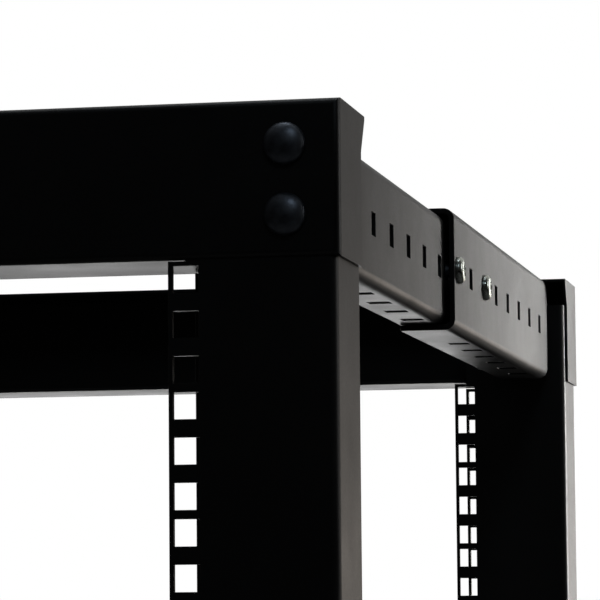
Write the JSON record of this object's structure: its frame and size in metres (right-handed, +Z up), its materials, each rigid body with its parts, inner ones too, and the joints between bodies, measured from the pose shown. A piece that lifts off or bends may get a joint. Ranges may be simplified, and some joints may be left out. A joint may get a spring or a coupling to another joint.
{
  "type": "four post open frame rack",
  "caption": "Free-standing open equipment rack: perforated C-channel posts tied by header channels and telescoping side rails, on levelling feet.",
  "frame": {"origin": "on the floor, below the middle of the frame", "axes": "+Z up, +X to the right seen from the front, the front faces -Y"},
  "size_m": [0.577, 0.723, 0.6758],
  "materials": {
    "post_coat": "semi-gloss black powder coat with a fine texture",
    "header_coat": "semi-gloss black powder coat with a fine texture",
    "rail_coat": "semi-gloss black powder coat with a fine texture",
    "black_screw": "black oxide steel, lightly oiled",
    "zinc_screw": "bright zinc plating with a faint green cast",
    "stud_zinc": "zinc plated steel",
    "foot_plastic": "moulded black plastic"
  },
  "bodies": {
    "root": {"front_right_post": "post_coat", "front_left_post": "post_coat", "rear_right_post": "post_coat", "rear_left_post": "post_coat", "top_front_header": "header_coat", "top_rear_header": "header_coat", "bottom_front_header": "header_coat", "bottom_rear_header": "header_coat", "right_top_front_rail": "rail_coat", "right_top_rear_rail": "rail_coat", "right_bottom_front_rail": "rail_coat", "right_bottom_rear_rail": "rail_coat", "left_top_front_rail": "rail_coat", "left_top_rear_rail": "rail_coat", "left_bottom_front_rail": "rail_coat", "left_bottom_rear_rail": "rail_coat", "front_right_foot_pad": "foot_plastic", "front_right_foot_stud": "stud_zinc", "front_left_foot_pad": "foot_plastic", "front_left_foot_stud": "stud_zinc", "rear_right_foot_pad": "foot_plastic", "rear_right_foot_stud": "stud_zinc", "rear_left_foot_pad": "foot_plastic", "rear_left_foot_stud": "stud_zinc"}
  },
  "joints": []
}
